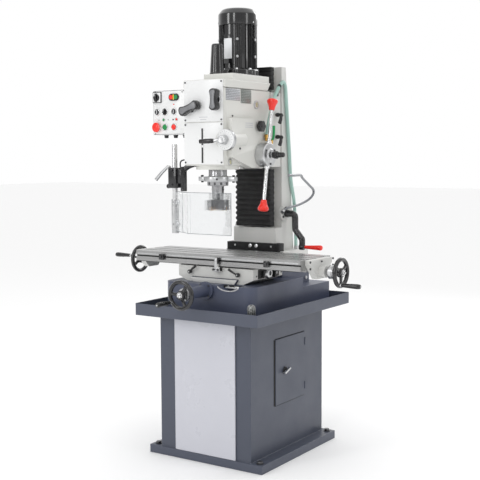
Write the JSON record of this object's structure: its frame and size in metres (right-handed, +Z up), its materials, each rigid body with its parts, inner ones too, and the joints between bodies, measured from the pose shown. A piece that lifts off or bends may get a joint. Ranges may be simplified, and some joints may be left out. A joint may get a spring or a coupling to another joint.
{
  "type": "benchtop milling machine",
  "caption": "Geared-head milling machine with dovetail column, tilting head, T-slot cross-slide table, handwheels, swing guard and steel stand.",
  "frame": {"origin": "middle of the stand's foot on the floor, under the table's cross travel", "axes": "+Z up along the column, the operator stands at -Y, +X to the operator's right along the table"},
  "size_m": [1.209, 0.941, 1.86],
  "materials": {
    "stand_paint": "blue-grey enamel",
    "panel_white": "light grey enamel, gloss",
    "head_grey": "light grey enamel",
    "plate_white": "white enamel",
    "steel": "ground steel",
    "cast_steel": "machined casting",
    "chrome": "polished",
    "black_iron": "black enamel, gloss",
    "black_plastic": "black phenolic",
    "bellows": "matt pleated rubber",
    "red_plastic": "red moulded plastic",
    "green_plastic": "green moulded plastic",
    "hose": "translucent green hose",
    "nozzle": "jointed metal hose",
    "shield": "clear polycarbonate"
  },
  "bodies": {
    "stand": {"stand_cabinet": "stand_paint", "front_panel": "panel_white", "chip_tray": "stand_paint", "machine_base": "stand_paint", "y_screw_bracket": "stand_paint", "column": "head_grey", "bellows_lower": "bellows", "bellows_upper": "bellows", "coolant_hose": "hose", "coolant_nozzle": "nozzle"},
    "door": {"cabinet_door": "stand_paint"},
    "door_lock": {"door_lock": "chrome"},
    "saddle": {"saddle": "cast_steel"},
    "saddle_lock_left": {"saddle_lock_left": "black_plastic"},
    "saddle_lock_right": {"saddle_lock_right": "black_plastic"},
    "table": {"table": "steel", "table_end_left": "cast_steel", "table_end_right": "cast_steel"},
    "stop_left": {"table_stop_left": "black_iron"},
    "stop_right": {"table_stop_right": "black_iron"},
    "x_screw": {"x_leadscrew": "steel", "handwheel_left": "black_iron", "handwheel_right": "black_iron"},
    "grip_left": {"grip_left": "black_plastic"},
    "grip_right": {"grip_right": "black_plastic"},
    "y_screw": {"y_leadscrew": "steel", "handwheel_front": "black_iron"},
    "grip_front": {"grip_front": "black_plastic"},
    "crank": {"crank_arm": "black_iron"},
    "crank_grip": {"crank_grip": "red_plastic"},
    "z_screw": {"z_leadscrew": "steel"},
    "carriage": {"carriage": "head_grey"},
    "column_lock_upper": {"column_lock_upper": "black_plastic"},
    "column_lock_lower": {"column_lock_lower": "black_plastic"},
    "head": {"head_casting": "head_grey", "head_top": "head_grey", "motor": "black_iron", "drawbar_cap": "black_plastic", "control_box": "plate_white", "guard_bracket": "black_iron"},
    "rotor": {"motor_pinion": "steel"},
    "gear": {"spindle_gear": "steel"},
    "quill": {"quill": "steel"},
    "spindle": {"spindle": "steel", "face_mill": "steel"},
    "feed_hub": {"feed_hub": "chrome", "feed_lever_upper": "red_plastic", "feed_lever_lower": "red_plastic"},
    "feed_lock": {"feed_lock_knob": "black_plastic"},
    "fine_feed": {"fine_feed_wheel": "steel"},
    "speed_left": {"speed_knob_left": "black_plastic"},
    "speed_right": {"speed_knob_right": "black_plastic"},
    "main_switch": {"main_switch": "black_plastic"},
    "mode_selector": {"mode_selector": "black_plastic"},
    "e_stop": {"e_stop": "red_plastic"},
    "green_button": {"green_button": "green_plastic"},
    "red_button": {"red_button": "red_plastic"},
    "start_button": {"start_button": "green_plastic"},
    "stop_button": {"stop_button": "red_plastic"},
    "guard": {"guard_post": "shield"}
  },
  "joints": [
    {"name": "door_hinge", "type": "hinge", "parent": "stand", "child": "door", "pos_m": [0.2292, 0.123, 0.3655], "axis": [0, 0, 1], "range_deg": [0, 110]},
    {"name": "door_lock_turn", "type": "hinge", "parent": "door", "child": "door_lock", "pos_m": [0.2295, -0.041, 0.366], "axis": [1, 0, 0], "range_deg": [0, 90]},
    {"name": "y_screw_turn", "type": "hinge", "parent": "stand", "child": "y_screw", "pos_m": [0, -0.446, 0.711], "axis": [0, -1, 0], "range_deg": [-3600.01, 6120.01]},
    {"name": "saddle_slide", "type": "slide", "parent": "stand", "child": "saddle", "axis": [0, 1, 0], "range_m": [-0.085, 0.05]},
    {"name": "x_screw_turn", "type": "hinge", "parent": "table", "child": "x_screw", "pos_m": [0, -0.103, 0.798], "axis": [1, 0, 0], "range_deg": [-14400.01, 14400.01]},
    {"name": "table_slide", "type": "slide", "parent": "saddle", "child": "table", "axis": [1, 0, 0], "range_m": [-0.2, 0.2]},
    {"name": "crank_turn", "type": "hinge", "parent": "stand", "child": "crank", "pos_m": [0.108, 0.15, 1.004], "axis": [1, 0, 0], "range_deg": [-5760.01, 4320.01]},
    {"name": "z_screw_turn", "type": "hinge", "parent": "stand", "child": "z_screw", "pos_m": [0, 0.15, 1.004], "axis": [0, 0, 1], "range_deg": [-5760.01, 4320.01]},
    {"name": "head_slide", "type": "slide", "parent": "stand", "child": "carriage", "axis": [0, 0, 1], "range_m": [-0.08, 0.06], "deforming": ["bellows_lower", "bellows_upper"]},
    {"name": "grip_left_spin", "type": "hinge", "parent": "x_screw", "child": "grip_left", "pos_m": [-0.4865, -0.15233, 0.81596], "axis": [1, 0, 0], "continuous": true},
    {"name": "grip_right_spin", "type": "hinge", "parent": "x_screw", "child": "grip_right", "pos_m": [0.5225, -0.12925, 0.75253], "axis": [1, 0, 0], "continuous": true},
    {"name": "grip_front_spin", "type": "hinge", "parent": "y_screw", "child": "grip_front", "pos_m": [-0.04301, -0.446, 0.68089], "axis": [0, 1, 0], "continuous": true},
    {"name": "crank_grip_spin", "type": "hinge", "parent": "crank", "child": "crank_grip", "pos_m": [0.201, 0.15, 0.863], "axis": [1, 0, 0], "continuous": true},
    {"name": "saddle_lock_left_turn", "type": "hinge", "parent": "saddle", "child": "saddle_lock_left", "pos_m": [-0.122, -0.2145, 0.775], "axis": [0, -1, 0], "range_deg": [-60, 0]},
    {"name": "saddle_lock_right_turn", "type": "hinge", "parent": "saddle", "child": "saddle_lock_right", "pos_m": [0.118, -0.2145, 0.775], "axis": [0, -1, 0], "range_deg": [0, 60]},
    {"name": "stop_left_slide", "type": "slide", "parent": "table", "child": "stop_left", "axis": [1, 0, 0], "range_m": [-0.12, 0.15]},
    {"name": "stop_right_slide", "type": "slide", "parent": "table", "child": "stop_right", "axis": [1, 0, 0], "range_m": [-0.15, 0.12]},
    {"name": "column_lock_upper_turn", "type": "hinge", "parent": "carriage", "child": "column_lock_upper", "pos_m": [0.1055, 0.092, 1.426], "axis": [1, 0, 0], "range_deg": [-15, 20]},
    {"name": "column_lock_lower_turn", "type": "hinge", "parent": "carriage", "child": "column_lock_lower", "pos_m": [0.1055, 0.092, 1.333], "axis": [1, 0, 0], "range_deg": [-15, 20]},
    {"name": "head_tilt", "type": "hinge", "parent": "carriage", "child": "head", "pos_m": [0, 0.045, 1.38], "axis": [0, -1, 0], "range_deg": [-5, 45]},
    {"name": "spindle_spin", "type": "hinge", "parent": "quill", "child": "spindle", "pos_m": [0, -0.19, 1.2], "axis": [0, 0, 1], "continuous": true},
    {"name": "gear_spin", "type": "hinge", "parent": "head", "child": "gear", "pos_m": [0, -0.19, 1.485], "axis": [0, 0, 1], "continuous": true},
    {"name": "motor_spin", "type": "hinge", "parent": "head", "child": "rotor", "pos_m": [0, -0.037, 1.6], "axis": [0, 0, 1], "continuous": true},
    {"name": "feed_hub_turn", "type": "hinge", "parent": "head", "child": "feed_hub", "pos_m": [0.121, -0.05, 1.257], "axis": [1, 0, 0], "range_deg": [0, 286]},
    {"name": "quill_slide", "type": "slide", "parent": "head", "child": "quill", "axis": [0, 0, -1], "range_m": [0, 0.12]},
    {"name": "feed_lock_turn", "type": "hinge", "parent": "feed_hub", "child": "feed_lock", "pos_m": [0.173, -0.05, 1.257], "axis": [1, 0, 0], "range_deg": [0, 180]},
    {"name": "fine_feed_turn", "type": "hinge", "parent": "head", "child": "fine_feed", "pos_m": [0.122, -0.2935, 1.317], "axis": [0, -1, 0], "continuous": true},
    {"name": "speed_left_turn", "type": "hinge", "parent": "head", "child": "speed_left", "pos_m": [-0.052, -0.2856, 1.444], "axis": [0, -1, 0], "range_deg": [-60, 60]},
    {"name": "speed_right_turn", "type": "hinge", "parent": "head", "child": "speed_right", "pos_m": [0.07, -0.2856, 1.475], "axis": [0, -1, 0], "range_deg": [-60, 60]},
    {"name": "main_switch_turn", "type": "hinge", "parent": "head", "child": "main_switch", "pos_m": [-0.302, -0.2003, 1.499], "axis": [0, 1, 0], "range_deg": [0, 90]},
    {"name": "mode_selector_turn", "type": "hinge", "parent": "head", "child": "mode_selector", "pos_m": [-0.26, -0.2003, 1.439], "axis": [0, 1, 0], "range_deg": [-45, 45]},
    {"name": "e_stop_press", "type": "slide", "parent": "head", "child": "e_stop", "axis": [0, 1, 0], "range_m": [0, 0.004], "stiffness_N_per_m": 600},
    {"name": "green_button_press", "type": "slide", "parent": "head", "child": "green_button", "axis": [0, 1, 0], "range_m": [0, 0.004], "stiffness_N_per_m": 600},
    {"name": "red_button_press", "type": "slide", "parent": "head", "child": "red_button", "axis": [0, 1, 0], "range_m": [0, 0.004], "stiffness_N_per_m": 600},
    {"name": "start_button_press", "type": "slide", "parent": "head", "child": "start_button", "axis": [0, 1, 0], "range_m": [0, 0.004], "stiffness_N_per_m": 600},
    {"name": "stop_button_press", "type": "slide", "parent": "head", "child": "stop_button", "axis": [0, 1, 0], "range_m": [0, 0.004], "stiffness_N_per_m": 600},
    {"name": "guard_swing", "type": "hinge", "parent": "head", "child": "guard", "pos_m": [-0.205, -0.21, 1.1], "axis": [0, 0, 1], "range_deg": [-100, 0]}
  ],
  "couplings": [
    {"joint": "y_screw_turn", "follows": "saddle_slide", "rad_per_m": -1256.6},
    {"joint": "x_screw_turn", "follows": "table_slide", "rad_per_m": 1256.6},
    {"joint": "crank_turn", "follows": "head_slide", "rad_per_m": 1256.6},
    {"joint": "z_screw_turn", "follows": "head_slide", "rad_per_m": 1256.6},
    {"joint": "quill_slide", "follows": "feed_hub_turn", "m_per_rad": 0.02404},
    {"joint": "gear_spin", "follows": "spindle_spin", "ratio": 1},
    {"joint": "motor_spin", "follows": "spindle_spin", "ratio": -1.1942}
  ]
}
